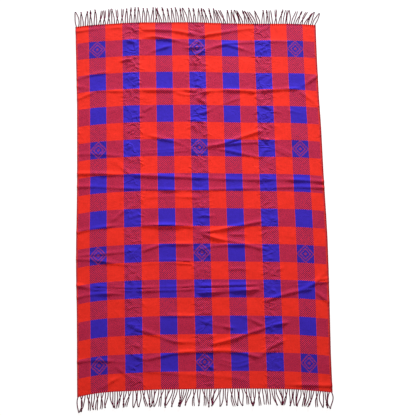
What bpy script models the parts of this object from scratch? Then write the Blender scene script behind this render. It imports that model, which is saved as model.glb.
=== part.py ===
"""A checked shoulder blanket laid flat on the floor, with a twisted fringe along both ends.

The cloth is drawn in its own woven check: columns count across it from the left selvedge,
and rows count along it from the head edge. Those two numbers place every fold and strand.
"""
import random

import bmesh
import bpy
import numpy as np

# The woven cloth, in metres. A column and a row are one square of the check.
COLUMN_PITCH = 0.095
ROW_PITCH = 0.0986
COLUMNS = 14.6
ROWS = 20.86
CLOTH_THICKNESS = 0.0015

# How it lies. The foot end is pulled to one side by this share of the length.
SIDEWAYS_PULL = 0.0184
FLAT_END = 0.012
FLAT_END_BLEND = 0.06
MILLIMETRE = 0.001
TABLE_BLEND = 0.7

# Drop of the two end edges toward the foot, in millimetres, at each column.
EDGE_DROP = (
    # column, head, foot
    (-1.0, 44, 60),
    (0.0, 31, 35),
    (0.8, 19, 18),
    (1.8, 14, 9),
    (3.3, 3, 5),
    (4.5, 3, 0),
    (7.3, 2, 0),
    (8.6, 8, -1),
    (10.4, 12, 1),
    (12.2, 12, 5),
    (13.5, 12, 14),
    (14.6, 21, 25),
    (15.6, 29, 35),
)

# Outward swell of the two selvedges, in millimetres, at each row.
SIDE_SWELL = (
    # row, left, right
    (-1.0, 13, -1),
    (0.5, 9, -2),
    (1.5, 7, -4),
    (3.0, 4, -4),
    (4.5, 0, -4),
    (6.0, 0, 0),
    (9.0, -1, 0),
    (11.0, 1, 3),
    (12.5, 4, 4),
    (14.3, 4, 1),
    (16.0, 0, -3),
    (18.0, -2, -8),
    (19.0, -2, -11),
    (22.0, -4, -12),
)
SWELL_REACH = 3.0

# Every fold: its height and half width in millimetres, and its course as (column, row).
# A course that begins or ends off the cloth carries the fold over the selvedge.
FOLDS = (
    # height, half width, course
    (6, 32, ((3.8, 0.55), (5.6, 0.5), (6.6, 0.7), (7.5, 0.85))),
    (6, 32, ((3.9, 1.95), (4.7, 1.6), (5.6, 1.3), (6.6, 1.3), (7.8, 1.45))),
    (5, 32, ((7.2, 0.95), (8.5, 0.7), (9.8, 0.45), (11.0, 0.4))),
    (8, 34, ((7.0, 2.05), (7.9, 1.5), (9.0, 1.2), (11.4, 1.0), (13.1, 1.05))),
    (5, 30, ((9.0, 1.25), (9.9, 1.44), (11.0, 1.85))),
    (8, 34, ((-0.8, 3.3), (1.1, 3.95), (3.8, 4.08), (5.8, 4.15), (6.6, 4.4), (7.6, 4.2))),
    (8, 34, ((6.9, 4.35), (8.0, 4.1), (10.8, 4.1), (13.4, 3.88), (14.1, 3.4), (15.4, 2.5))),
    (5, 32, ((-0.8, 4.5), (0.3, 4.25), (1.4, 3.95))),
    (5, 32, ((13.3, 3.95), (14.0, 4.4), (15.4, 5.3))),
    (5, 30, ((7.8, 5.3), (8.8, 4.85), (10.0, 4.4))),
    (5, 30, ((10.9, 4.75), (11.6, 5.15), (12.4, 5.5))),
    (6, 32, ((4.2, 6.7), (5.2, 7.0), (6.0, 7.15), (6.6, 7.45), (7.4, 8.0))),
    (9, 36, ((7.3, 7.5), (8.3, 7.33), (9.8, 6.8), (10.9, 6.5), (12.1, 5.8))),
    (6, 32, ((7.3, 7.4), (8.9, 7.6), (9.8, 7.8), (11.1, 8.1))),
    (8, 34, ((-0.8, 8.5), (2.6, 9.0), (5.7, 9.2), (9.3, 9.34), (15.4, 9.3))),
    (7, 32, ((-0.8, 9.3), (2.6, 9.8), (5.7, 9.94), (9.2, 9.86), (15.4, 9.6))),
    (5, 32, ((1.9, 7.9), (2.6, 8.5), (3.0, 8.9), (3.9, 9.15))),
    (5, 32, ((-0.8, 12.05), (1.1, 11.93), (2.2, 11.7), (2.9, 10.95), (3.8, 10.6))),
    (8, 34, ((3.6, 11.95), (5.9, 11.96), (7.1, 12.1))),
    (8, 34, ((6.9, 12.4), (8.0, 12.26), (9.0, 12.06), (11.1, 11.6))),
    (7, 34, ((7.0, 12.35), (8.0, 12.7), (9.0, 12.86), (11.2, 13.35))),
    (6, 32, ((3.5, 13.5), (4.3, 13.2), (5.0, 13.0), (7.1, 13.0))),
    (5, 32, ((-0.8, 13.4), (1.0, 13.65), (1.9, 13.95), (3.8, 14.25))),
    (7, 34, ((-0.8, 14.7), (0.9, 15.25), (2.8, 15.5), (5.8, 15.5), (7.6, 15.4))),
    (8, 34, ((6.6, 15.45), (8.5, 15.4), (10.5, 15.32), (13.0, 15.2))),
    (6, 32, ((12.6, 15.65), (13.5, 15.3), (14.0, 14.9), (15.2, 13.4))),
    (6, 32, ((10.5, 16.4), (11.5, 15.9), (12.7, 15.6), (13.9, 15.35))),
    (6, 34, ((2.6, 17.1), (3.6, 17.7), (4.6, 18.0), (5.5, 18.4), (7.0, 18.45))),
    (5, 30, ((4.6, 17.0), (7.0, 17.05), (8.0, 17.5), (9.2, 17.7))),
    (9, 36, ((7.4, 18.6), (8.8, 18.3), (9.7, 18.0), (10.6, 17.7), (12.2, 17.3))),
    (8, 34, ((3.6, 19.4), (5.0, 19.1), (6.9, 18.9), (9.1, 18.94), (10.6, 19.3))),
    (7, 32, ((10.2, 19.5), (10.8, 18.87), (11.2, 18.6), (12.1, 18.2))),
    (8, 34, ((-0.8, 19.0), (1.0, 19.17), (1.8, 19.3), (3.1, 19.45))),
    (5, 32, ((2.1, 19.45), (2.8, 20.05), (3.3, 20.45))),
    (5, 32, ((3.6, 19.9), (5.7, 20.13), (8.7, 20.25), (9.9, 20.4))),
)
FOLD_STEPS = 60
CORNER_CUTS = 3
END_FADE = 0.14

# Faces along the cloth: how many lie between each row given here and the one before.
ROW_FACES = (
    # row reached, faces
    (0.12, 1),
    (3.4, 10),
    (4.7, 4),
    (8.8, 11),
    (10.3, 5),
    (14.9, 13),
    (15.8, 3),
    (20.74, 13),
    (20.86, 1),
)
COLUMN_FACES = 46

# The fringe, in metres: a woven heading with twisted strands that meet tip to tip in pairs.
HEADING_GAP = 0.0003
HEADING_DEPTH = 0.008
PAIRS = 56
STRAND_WIDTH = 0.0042
STRAND_HEIGHT = 0.003
TIP_SPREAD = 0.0032
LENGTH_SPREAD = 0.004
LEAN_SPREAD = 0.003
BELLY_SPREAD = 0.002
STRAND_SHARES = (0.0, 0.4, 0.75, 1.0)
LEAN_GROWTH = 1.3
CLOSING_GROWTH = 3.0
HEAD_SEED = 3
FOOT_SEED = 4

# How far the strand tips reach sideways and past the heading, in millimetres, by column.
HEAD_STRANDS = (
    # column, sideways, length
    (0.0, -10, 90),
    (0.6, -21, 90),
    (1.5, -5, 90),
    (3.4, -4, 88),
    (4.0, 8, 90),
    (5.1, -7, 90),
    (6.4, -13, 90),
    (6.9, 4, 90),
    (8.5, -16, 88),
    (9.0, -2, 86),
    (10.4, -15, 85),
    (11.6, -15, 85),
    (12.1, 0, 85),
    (13.4, 16, 84),
    (14.2, 22, 82),
    (14.6, 50, 74),
)
FOOT_STRANDS = (
    # column, sideways, length
    (0.0, 4, 87),
    (1.6, 6, 86),
    (2.3, -8, 86),
    (3.0, 0, 87),
    (5.0, -5, 92),
    (6.0, -8, 92),
    (7.2, -5, 92),
    (9.0, -6, 90),
    (10.4, 6, 88),
    (12.0, -3, 88),
    (13.6, -4, 87),
    (14.6, -5, 82),
)


# Plain colours, as linear red, green and blue.
CLOTH_COLOR = (0.78, 0.04, 0.05)
FRINGE_COLOR = (0.16, 0.03, 0.06)
ROUGHNESS = 0.9


def table_value(table, heading, place):
    """Read one column of a table at a place, rounded off where the table bends."""
    rows = np.array(table, dtype=float)
    spread = np.linspace(-TABLE_BLEND, TABLE_BLEND, 9)
    values = [np.interp(place + shift, rows[:, 0], rows[:, heading]) for shift in spread]
    return np.mean(values, axis=0) * MILLIMETRE


def cloth_place(column, row):
    """Return x and y where a place of the check lies on the floor."""
    share = row / ROWS
    drop = table_value(EDGE_DROP, 1, column) * (1 - share)
    drop += table_value(EDGE_DROP, 2, column) * share
    near_left = np.clip(1 - column / SWELL_REACH, 0, 1)
    near_right = np.clip(1 - (COLUMNS - column) / SWELL_REACH, 0, 1)
    swell = near_right * table_value(SIDE_SWELL, 2, row)
    swell -= near_left * table_value(SIDE_SWELL, 1, row)
    along = (row - ROWS / 2) * ROW_PITCH
    across = (column - COLUMNS / 2) * COLUMN_PITCH
    return across + SIDEWAYS_PULL * along + swell, -along - drop


def rounded_course(course):
    """Cut the corners of a fold's course and return it as even steps in metres."""
    points = np.array(course) * (COLUMN_PITCH, ROW_PITCH)
    for _ in range(CORNER_CUTS):
        early = points[:-1] * 0.75 + points[1:] * 0.25
        late = points[:-1] * 0.25 + points[1:] * 0.75
        inner = np.stack([early, late], axis=1).reshape(-1, 2)
        points = np.concatenate([points[:1], inner, points[-1:]])
    run = np.concatenate([[0], np.cumsum(np.linalg.norm(np.diff(points, axis=0), axis=1))])
    even = np.linspace(0, run[-1], FOLD_STEPS)
    return np.stack([np.interp(even, run, points[:, axis]) for axis in (0, 1)], axis=1)


def smoothstep(value):
    """Ease from 0 to 1."""
    value = np.clip(value, 0, 1)
    return value * value * (3 - 2 * value)


def fold_lift(columns, rows):
    """Return how far the folds lift each place of the cloth off the floor, in metres."""
    places = np.stack([columns * COLUMN_PITCH, rows * ROW_PITCH], axis=1)
    total = np.zeros(len(places))
    for height, half_width, course in FOLDS:
        line = rounded_course(course)
        distance = np.linalg.norm(places[:, None] - line[None], axis=2)
        share = distance.argmin(axis=1) / (FOLD_STEPS - 1)
        fade = smoothstep(np.minimum(share, 1 - share) / END_FADE)
        offset = np.clip(distance.min(axis=1) / (half_width * MILLIMETRE), 0, 1)
        lift = height * MILLIMETRE * fade * np.cos(offset * np.pi / 2) ** 2
        total += lift ** 3
    to_end = np.minimum(rows, ROWS - rows) * ROW_PITCH
    return np.cbrt(total) * smoothstep((to_end - FLAT_END) / FLAT_END_BLEND)


def spaced_rows():
    """Return the row of every crosswise line of the cloth's mesh."""
    lines = [0.0]
    for reached, faces in ROW_FACES:
        lines.extend(np.linspace(lines[-1], reached, faces + 1)[1:])
    return np.array(lines)


def material(name, color, roughness):
    """Return a plain material."""
    made = bpy.data.materials.new(name)
    made.use_nodes = True
    surface = made.node_tree.nodes["Principled BSDF"]
    surface.inputs["Base Color"].default_value = (*color, 1)
    surface.inputs["Roughness"].default_value = roughness
    surface.inputs["Metallic"].default_value = 0
    return made


def add_object(name, bm, collection, finish):
    """Make an object from a bmesh, with its material."""
    mesh = bpy.data.meshes.new(name)
    bm.to_mesh(mesh)
    bm.free()
    mesh.materials.append(finish)
    made = bpy.data.objects.new(name, mesh)
    collection.objects.link(made)
    return made


def make_cloth(collection):
    """The woven panel: a sheet that lies on the floor and rises over its folds."""
    lines = spaced_rows()
    bm = bmesh.new()
    bmesh.ops.create_grid(bm, x_segments=COLUMN_FACES, y_segments=len(lines) - 1, size=0.5)
    bm.verts.ensure_lookup_table()
    across = np.array([vert.co.x + 0.5 for vert in bm.verts])
    toward_foot = np.array([0.5 - vert.co.y for vert in bm.verts])
    columns = across * COLUMNS
    rows = np.interp(toward_foot, np.linspace(0, 1, len(lines)), lines)
    x, y = cloth_place(columns, rows)
    z = fold_lift(columns, rows)
    for vert, *place in zip(bm.verts, x, y, z):
        vert.co = place
    cloth = add_object("cloth", bm, collection, material("woven_red", CLOTH_COLOR, ROUGHNESS))
    shell = cloth.modifiers.new("woven thickness", "SOLIDIFY")
    shell.thickness = CLOTH_THICKNESS
    shell.offset = 1
    return cloth


def strand_path(root, outward, lean, length, tip_side, belly):
    """Return the middle line of one strand, from its root on the heading to its tip."""
    path = []
    for share in STRAND_SHARES:
        bulge = belly * np.sin(np.pi * share)
        sideways = lean * share ** LEAN_GROWTH + bulge + tip_side * share ** CLOSING_GROWTH
        path.append(np.array(root) + (sideways, outward * length * share))
    return path


def strand_outline(path):
    """Return both sides of one strand, its left side outward and its right side back."""
    path = np.array(path)
    along = np.gradient(path, axis=0)
    along /= np.linalg.norm(along, axis=1)[:, None]
    along[0] = (0, np.sign(along[0][1]))
    side = np.stack([-np.abs(along[:, 1]), along[:, 0] * np.sign(along[:, 1])], axis=1)
    half = side * STRAND_WIDTH / 2
    return [*(path + half), *(path - half)[::-1]]


def fringe_outline(row, outward, strands, seed):
    """Return the comb of heading and strands as seen from above, left to right and back."""
    chance = random.Random(seed)
    pair_columns = COLUMNS / PAIRS
    leg_reach = pair_columns * COLUMN_PITCH / 4
    depth = outward * (HEADING_GAP + HEADING_DEPTH)
    left = cloth_place(0.0, row)
    right = cloth_place(COLUMNS, row)
    outline = [(left[0], left[1] + depth)]
    for pair in range(PAIRS):
        middle = (pair + 0.5) * pair_columns
        lean = table_value(strands, 1, middle) + chance.uniform(-1, 1) * LEAN_SPREAD
        length = table_value(strands, 2, middle) + chance.uniform(-1, 1) * LENGTH_SPREAD
        for leg in (-1, 1):
            x, y = cloth_place(middle + leg * pair_columns / 4, row)
            root = (x, y + depth)
            inward = -leg * (leg_reach - TIP_SPREAD)
            belly = leg * chance.uniform(0, 1) * BELLY_SPREAD
            path = strand_path(root, outward, lean, length, inward, belly)
            outline.extend(strand_outline(path))
    outline.append((right[0], right[1] + depth))
    for column in np.linspace(COLUMNS, 0, COLUMN_FACES + 1):
        x, y = cloth_place(column, row)
        outline.append((x, y + outward * HEADING_GAP))
    return outline


def make_fringe(name, collection, outline):
    """A flat comb: the heading along the cloth's edge and its strands, level on the floor."""
    bm = bmesh.new()
    corners = [bm.verts.new((x, y, 0)) for x, y in outline]
    face = bm.faces.new(corners)
    made = bmesh.ops.extrude_face_region(bm, geom=[face])
    raised = [item for item in made["geom"] if isinstance(item, bmesh.types.BMVert)]
    bmesh.ops.translate(bm, verts=raised, vec=(0, 0, STRAND_HEIGHT))
    bmesh.ops.recalc_face_normals(bm, faces=bm.faces)
    return add_object(name, bm, collection, material(name + "_yarn", FRINGE_COLOR, ROUGHNESS))


def centre_on_origin(pieces):
    """Move every piece so that the middle of the whole lies over the origin."""
    places = np.array([vert.co.xy for piece in pieces for vert in piece.data.vertices])
    middle = (places.min(axis=0) + places.max(axis=0)) / 2
    for piece in pieces:
        for vert in piece.data.vertices:
            vert.co.x -= middle[0]
            vert.co.y -= middle[1]


def main():
    """Clear the scene and build the blanket's three pieces."""
    for old in list(bpy.data.objects):
        bpy.data.objects.remove(old)
    collection = bpy.data.collections.new("checked_blanket")
    bpy.context.scene.collection.children.link(collection)
    head = fringe_outline(0.0, 1, HEAD_STRANDS, HEAD_SEED)
    foot = fringe_outline(ROWS, -1, FOOT_STRANDS, FOOT_SEED)
    pieces = [
        make_cloth(collection),
        make_fringe("fringe_head", collection, head),
        make_fringe("fringe_foot", collection, foot),
    ]
    centre_on_origin(pieces)


main()
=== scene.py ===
import math
import random

import bpy
import numpy as np
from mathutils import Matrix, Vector, noise


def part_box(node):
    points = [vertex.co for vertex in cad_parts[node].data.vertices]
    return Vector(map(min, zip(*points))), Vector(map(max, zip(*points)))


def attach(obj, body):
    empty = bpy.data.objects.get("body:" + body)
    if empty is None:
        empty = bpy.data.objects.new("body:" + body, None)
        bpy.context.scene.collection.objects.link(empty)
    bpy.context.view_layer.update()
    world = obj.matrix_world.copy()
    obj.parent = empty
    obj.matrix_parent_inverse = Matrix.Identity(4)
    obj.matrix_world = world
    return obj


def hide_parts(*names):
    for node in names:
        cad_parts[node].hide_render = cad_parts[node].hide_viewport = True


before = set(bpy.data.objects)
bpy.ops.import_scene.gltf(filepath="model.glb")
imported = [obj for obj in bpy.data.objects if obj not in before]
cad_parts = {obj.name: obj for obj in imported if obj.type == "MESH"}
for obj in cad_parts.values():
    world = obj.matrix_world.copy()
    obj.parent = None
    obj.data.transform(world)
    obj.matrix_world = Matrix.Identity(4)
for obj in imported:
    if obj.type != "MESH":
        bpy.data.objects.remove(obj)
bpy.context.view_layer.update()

# Camera
# It hangs above the cloth, a little toward its foot end, and looks back at the middle. The
# far end of the blanket is therefore drawn a little narrower than the near end.
CAMERA_PLACE = (0.0002, -0.4554, 3.2696)
CAMERA_TURN = (7.219, -0.844, -0.436)
CAMERA_LENS = 51.06
CAMERA_SENSOR = 36.0

bpy.ops.object.camera_add(
    location=CAMERA_PLACE, rotation=[math.radians(angle) for angle in CAMERA_TURN]
)
camera = bpy.context.object
camera.name = "camera_above"
camera.data.lens = CAMERA_LENS
camera.data.sensor_width = CAMERA_SENSOR
bpy.context.scene.camera = camera

# Woven cloth
# One width of soft brushed acrylic, woven in a two-colour check with red and blue warp and
# weft. It has been unfolded from a packet, so it lies flat but for its creases.
COLUMN_PITCH = 0.095
ROW_PITCH = 0.0986
COLUMNS = 14.6
ROWS = 20.86
CLOTH_THICKNESS = 0.0015
CLOTH_FACES = (140, 336)
SIDEWAYS_PULL = 0.0184
MILLIMETRE = 0.001
TABLE_BLEND = 0.7
TABLE_SAMPLES = 9

# Drop of the two end edges toward the foot, in millimetres, at each column.
EDGE_DROP = (
    # column, head, foot
    (-1.0, 44, 60),
    (0.0, 31, 35),
    (0.8, 19, 18),
    (1.8, 14, 9),
    (3.3, 3, 5),
    (4.5, 3, 0),
    (7.3, 2, 0),
    (8.6, 8, -1),
    (10.4, 12, 1),
    (12.2, 12, 5),
    (13.5, 12, 14),
    (14.6, 21, 25),
    (15.6, 29, 35),
)

# Outward swell of the two selvedges, in millimetres, at each row.
SIDE_SWELL = (
    # row, left, right
    (-1.0, 13, -1),
    (0.5, 9, -2),
    (1.5, 7, -4),
    (3.0, 4, -4),
    (4.5, 0, -4),
    (6.0, 0, 0),
    (9.0, -1, 0),
    (11.0, 1, 3),
    (12.5, 4, 4),
    (14.3, 4, 1),
    (16.0, 0, -3),
    (18.0, -2, -8),
    (19.0, -2, -11),
    (22.0, -4, -12),
)
SWELL_REACH = 3.0

# How far the weave itself is pulled toward the left selvedge and toward the head, in squares.
PULLED_LEFT = (
    # column, squares
    (0.0, 0.01),
    (2.0, 0.055),
    (5.0, 0.05),
    (8.0, 0.035),
    (12.0, 0.02),
    (14.6, 0.02),
)
PULLED_UP = (
    # row, squares
    (0.0, 0.033),
    (5.5, 0.06),
    (7.0, 0.038),
    (10.5, 0.035),
    (12.0, 0.01),
    (20.86, 0.01),
)

# Every crease: its height and half width in millimetres, and its course as (column, row).
# A height below zero is a groove between two low shoulders. A course that starts or ends off
# the cloth carries the crease over the selvedge.
CREASES = (
    # height, half width, course
    (3, 11, ((-0.6, 0.25), (1.4, 0.16), (3.1, 0.18))),
    (5, 11, ((3.8, 0.38), (5.6, 0.4), (6.7, 0.61), (7.5, 0.73))),
    (5, 10, ((3.7, 1.1), (4.0, 0.9), (4.7, 0.77), (6.6, 1.2), (7.5, 1.5))),
    (4, 10, ((3.7, 2.1), (4.65, 1.67), (5.9, 1.3))),
    (4, 10, ((6.4, 1.46), (7.3, 1.53), (8.0, 1.3))),
    (5, 11, ((7.2, 0.83), (8.5, 0.57), (9.8, 0.33), (11.1, 0.17))),
    (5, 11, ((6.9, 2.1), (7.9, 1.52), (9.0, 1.2), (10.2, 1.12))),
    (4, 10, ((8.5, 1.27), (9.9, 1.12))),
    (3, 10, ((9.6, 1.15), (11.5, 1.01), (13.2, 1.05))),
    (4, 10, ((8.8, 1.2), (9.9, 1.44), (11.0, 1.86))),
    (4, 10, ((10.5, 1.8), (11.6, 1.25))),
    (5, 10, ((2.8, 0.93), (3.9, 1.3))),
    (3, 9, ((2.7, 1.65), (3.8, 1.83))),
    (3, 9, ((2.8, 1.88), (3.8, 2.13))),
    (3, 9, ((2.8, 2.63), (3.9, 2.35))),
    (3, 9, ((2.9, 2.78), (3.8, 3.52))),
    (3, 11, ((-0.3, 3.2), (0.8, 2.95), (2.1, 2.86))),
    (4, 11, ((-0.6, 3.3), (0.2, 3.6), (1.2, 3.95))),
    (4, 11, ((-0.6, 4.5), (0.2, 4.27), (1.2, 3.97))),
    (4, 11, ((0.9, 3.9), (2.7, 4.08), (4.1, 4.08))),
    (6, 12, ((3.6, 4.06), (4.8, 4.07), (5.8, 4.08), (7.4, 4.06))),
    (5, 14, ((4.4, 4.08), (6.1, 4.1))),
    (3, 9, ((5.7, 4.13), (6.6, 4.41), (7.4, 4.28))),
    (6, 11, ((7.2, 4.24), (8.0, 4.1), (9.2, 4.03), (10.2, 4.05), (11.0, 4.13))),
    (5, 10, ((10.7, 4.15), (11.3, 4.01), (13.6, 3.87))),
    (4, 10, ((13.3, 3.9), (14.1, 3.4), (15.2, 2.5))),
    (4, 10, ((13.3, 3.95), (13.95, 4.41), (15.2, 5.4))),
    (-3, 9, ((6.9, 2.9), (7.2, 3.3), (7.45, 3.75))),
    (3, 10, ((7.8, 5.3), (8.8, 4.84), (10.0, 4.4))),
    (4, 10, ((10.9, 4.75), (11.6, 5.17), (12.4, 5.45))),
    (3, 9, ((10.7, 5.7), (11.2, 5.56), (12.0, 5.54))),
    (3, 9, ((3.8, 5.4), (4.6, 4.95))),
    (3, 9, ((12.5, 5.15), (13.7, 5.45))),
    (5, 11, ((4.1, 6.7), (5.2, 6.99), (5.95, 7.14), (6.5, 7.42), (7.4, 7.95))),
    (-4, 9, ((3.7, 7.75), (4.95, 7.67), (7.1, 7.55))),
    (6, 12, ((7.3, 7.45), (8.3, 7.33), (9.0, 7.13), (9.8, 6.79), (11.3, 6.37))),
    (4, 10, ((7.5, 7.4), (9.2, 7.25), (10.1, 7.05))),
    (3, 10, ((10.9, 6.5), (12.2, 5.7))),
    (5, 10, ((7.3, 7.44), (8.9, 7.6), (9.8, 7.81), (11.1, 8.07))),
    (3, 8, ((8.8, 7.24), (11.2, 7.08))),
    (3, 9, ((11.1, 7.16), (12.1, 7.0))),
    (-4, 9, ((11.5, 7.3), (12.3, 7.65), (13.1, 8.1))),
    (3, 9, ((2.9, 6.0), (2.8, 6.6), (3.2, 7.1))),
    (3, 10, ((-0.3, 7.5), (1.9, 7.78), (3.0, 8.0))),
    (4, 11, ((1.9, 7.95), (2.6, 8.49), (2.96, 8.9), (3.8, 9.13))),
    (5, 12, ((-0.6, 8.6), (2.6, 9.0), (5.7, 9.18), (9.3, 9.34), (11.7, 9.29), (15.2, 9.3))),
    (3, 11, ((4.5, 9.12), (6.2, 9.21))),
    (4, 10, ((-0.6, 9.32), (2.6, 9.79), (5.7, 9.94), (7.2, 9.95), (9.2, 9.85), (15.2, 9.62))),
    (3, 11, ((4.6, 9.9), (6.3, 9.96))),
    (3, 10, ((6.9, 9.95), (8.1, 9.9))),
    (3, 9, ((10.8, 10.0), (11.7, 9.35))),
    (2, 12, ((3.6, 10.35), (5.5, 10.33), (7.4, 10.37))),
    (4, 11, ((-0.6, 12.05), (1.1, 11.93), (2.8, 11.84))),
    (4, 10, ((1.9, 11.75), (2.85, 10.95), (3.8, 10.55))),
    (7, 12, ((3.5, 11.95), (4.8, 11.93), (5.9, 11.96), (7.1, 12.06))),
    (3, 9, ((6.8, 11.46), (8.2, 11.4))),
    (6, 11, ((7.0, 12.38), (8.0, 12.26), (9.0, 12.06), (10.0, 11.87), (11.1, 11.63))),
    (5, 11, ((7.0, 12.3), (8.0, 12.69), (9.0, 12.86), (9.9, 13.04), (11.1, 13.35))),
    (3, 9, ((8.8, 12.48), (10.0, 12.45))),
    (4, 10, ((3.5, 13.5), (4.3, 13.2), (5.0, 13.01), (7.0, 13.02))),
    (3, 10, ((-0.3, 13.34), (1.9, 13.43), (3.8, 13.32))),
    (4, 10, ((7.0, 13.4), (7.9, 13.11), (9.0, 13.05), (10.1, 13.08))),
    (4, 11, ((-0.6, 13.4), (0.9, 13.66), (1.9, 13.95), (3.8, 14.24))),
    (-4, 10, ((3.3, 14.05), (4.8, 13.95), (5.8, 13.99), (7.0, 14.08))),
    (3, 10, ((8.6, 14.48), (9.3, 14.38), (10.1, 14.47))),
    (3, 9, ((11.0, 14.8), (12.1, 14.2))),
    (4, 11, ((-0.6, 14.8), (0.2, 14.98), (1.1, 15.38))),
    (-5, 11, ((0.7, 15.2), (2.8, 15.48), (5.8, 15.49), (7.0, 15.4))),
    (4, 11, ((-0.6, 15.65), (0.9, 15.57), (3.0, 15.72))),
    (4, 16, ((1.6, 15.12), (3.0, 15.2))),
    (-6, 14, ((6.7, 15.46), (7.9, 15.45), (10.7, 15.36))),
    (7, 11, ((6.8, 15.76), (8.9, 15.66), (10.7, 15.52))),
    (-4, 10, ((10.4, 15.32), (12.9, 15.2), (15.0, 14.75))),
    (5, 11, ((12.6, 15.62), (13.5, 15.3), (14.0, 14.87), (15.0, 13.7))),
    (5, 11, ((10.6, 16.3), (11.5, 15.92), (12.7, 15.6), (13.8, 15.38))),
    (4, 10, ((13.6, 15.4), (14.4, 15.97), (15.1, 16.5))),
    (3, 10, ((2.7, 14.4), (3.3, 15.15), (3.25, 15.7), (2.95, 16.7), (2.9, 17.5))),
    (3, 9, ((2.9, 16.7), (3.7, 15.95))),
    (3, 11, ((2.7, 17.2), (3.6, 17.73), (4.6, 18.02), (5.5, 18.42), (7.0, 18.43))),
    (4, 10, ((4.6, 16.97), (7.0, 17.0))),
    (4, 10, ((6.8, 17.2), (7.9, 17.51), (9.2, 17.72))),
    (4, 10, ((8.9, 16.9), (10.0, 17.17), (10.9, 17.65))),
    (6, 10, ((7.4, 18.6), (8.8, 18.31), (9.7, 17.99), (10.6, 17.72), (11.1, 17.52), (12.3, 17.3))),
    (3, 11, ((10.4, 17.8), (11.1, 17.52), (12.4, 17.28))),
    (5, 10, ((3.6, 19.4), (5.0, 19.11), (5.9, 18.94), (8.2, 18.88), (9.1, 18.94), (10.6, 19.3))),
    (3, 11, ((3.6, 19.42), (4.3, 19.25), (5.6, 18.98))),
    (4, 10, ((2.7, 18.7), (3.4, 19.13), (4.1, 19.45))),
    (-6, 11, ((8.0, 19.4), (9.0, 19.74), (10.0, 19.4))),
    (5, 11, ((10.2, 19.55), (10.76, 18.87), (11.2, 18.59), (12.1, 18.2))),
    (5, 10, ((-0.6, 19.02), (1.0, 19.17), (1.8, 19.3), (3.0, 19.44))),
    (4, 10, ((2.1, 19.5), (2.8, 20.07), (3.4, 20.55))),
    (3, 10, ((1.1, 20.9), (1.9, 20.4), (2.6, 20.1))),
    (2, 16, ((3.6, 19.9), (5.7, 20.13), (8.7, 20.32), (9.9, 20.55))),
    (5, 12, ((11.5, 20.85), (12.9, 20.68), (15.2, 20.55))),
)

# A ridge is mostly a narrow crest on a low wide swell, and its head side slopes more gently.
# Its height wavers along its course and fades at both tips. The cloth's ends stay flat.
CORNER_CUTS = 3
CREST_SHARE = 0.8
CREST_ROUNDING = 0.3
SWELL_WIDTH = 2.1
HEAD_SLOPE = 1.6
HEADWARD = (0.2, -0.98)
TINY = 1e-9
FADE_LENGTH = 0.05
STRENGTH_SIZE = 0.11
STRENGTH_SPREAD = 1.3
STRENGTH_LIMITS = (0.3, 1.6)
FLAT_END = 0.003
FLAT_END_BLEND = 0.02

# Short crumples and the gentle unevenness of cloth that was folded small. The three bands
# are where the packet's lengthwise folds ran, and they are sharpest toward the head.
PACKET_COLUMNS = (3.4, 7.35, 11.2)
PACKET_SHARPNESS = (
    # row, share
    (0.0, 1.0),
    (8.0, 1.0),
    (10.0, 0.55),
    (13.5, 0.55),
    (17.0, 0.8),
    (20.86, 0.5),
)
PACKET_REACH = 0.55
PACKET_WRINKLES = 34
WRINKLE_SCATTER = 0.4
WRINKLE_TURNS = (8, 60)
WRINKLE_REACHES = (0.25, 0.55)
WRINKLE_BEND = 0.12
WRINKLE_HEIGHTS = (2, 5.5)
WRINKLE_WIDTH = 8
WRINKLE_SEED = 11
CRUMPLE_HEIGHT = 0.0016
CRUMPLE_SIZE = (0.035, 0.02)
UNEVEN_HEIGHT = 0.0012
UNEVEN_SIZE = 0.07
UNEVEN_SHIFT = 0.3
RIM_ANGLE = 50


def table_value(table, heading, place):
    """Read one column of a table at a place, rounded off where the table bends."""
    rows = np.array(table, dtype=float)
    spread = np.linspace(-TABLE_BLEND, TABLE_BLEND, TABLE_SAMPLES)
    values = [np.interp(place + shift, rows[:, 0], rows[:, heading]) for shift in spread]
    return np.mean(values, axis=0) * MILLIMETRE


def cloth_place(column, row):
    """Return x and y where a place of the check lies, before the frame's own shift."""
    share = row / ROWS
    drop = table_value(EDGE_DROP, 1, column) * (1 - share)
    drop += table_value(EDGE_DROP, 2, column) * share
    near_left = np.clip(1 - column / SWELL_REACH, 0, 1)
    near_right = np.clip(1 - (COLUMNS - column) / SWELL_REACH, 0, 1)
    swell = near_right * table_value(SIDE_SWELL, 2, row)
    swell -= near_left * table_value(SIDE_SWELL, 1, row)
    along = (row - ROWS / 2) * ROW_PITCH
    across = (column - COLUMNS / 2) * COLUMN_PITCH
    return across + SIDEWAYS_PULL * along + swell, -along - drop


def smoothstep(value):
    """Ease from 0 to 1."""
    value = np.clip(value, 0, 1)
    return value * value * (3 - 2 * value)


def rounded_course(course):
    """Cut the corners of a crease's course, and return its points in metres."""
    points = np.array(course) * (COLUMN_PITCH, ROW_PITCH)
    for _ in range(CORNER_CUTS):
        early = points[:-1] * 0.75 + points[1:] * 0.25
        late = points[:-1] * 0.25 + points[1:] * 0.75
        inner = np.stack([early, late], axis=1).reshape(-1, 2)
        points = np.concatenate([points[:1], inner, points[-1:]])
    return points


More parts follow.
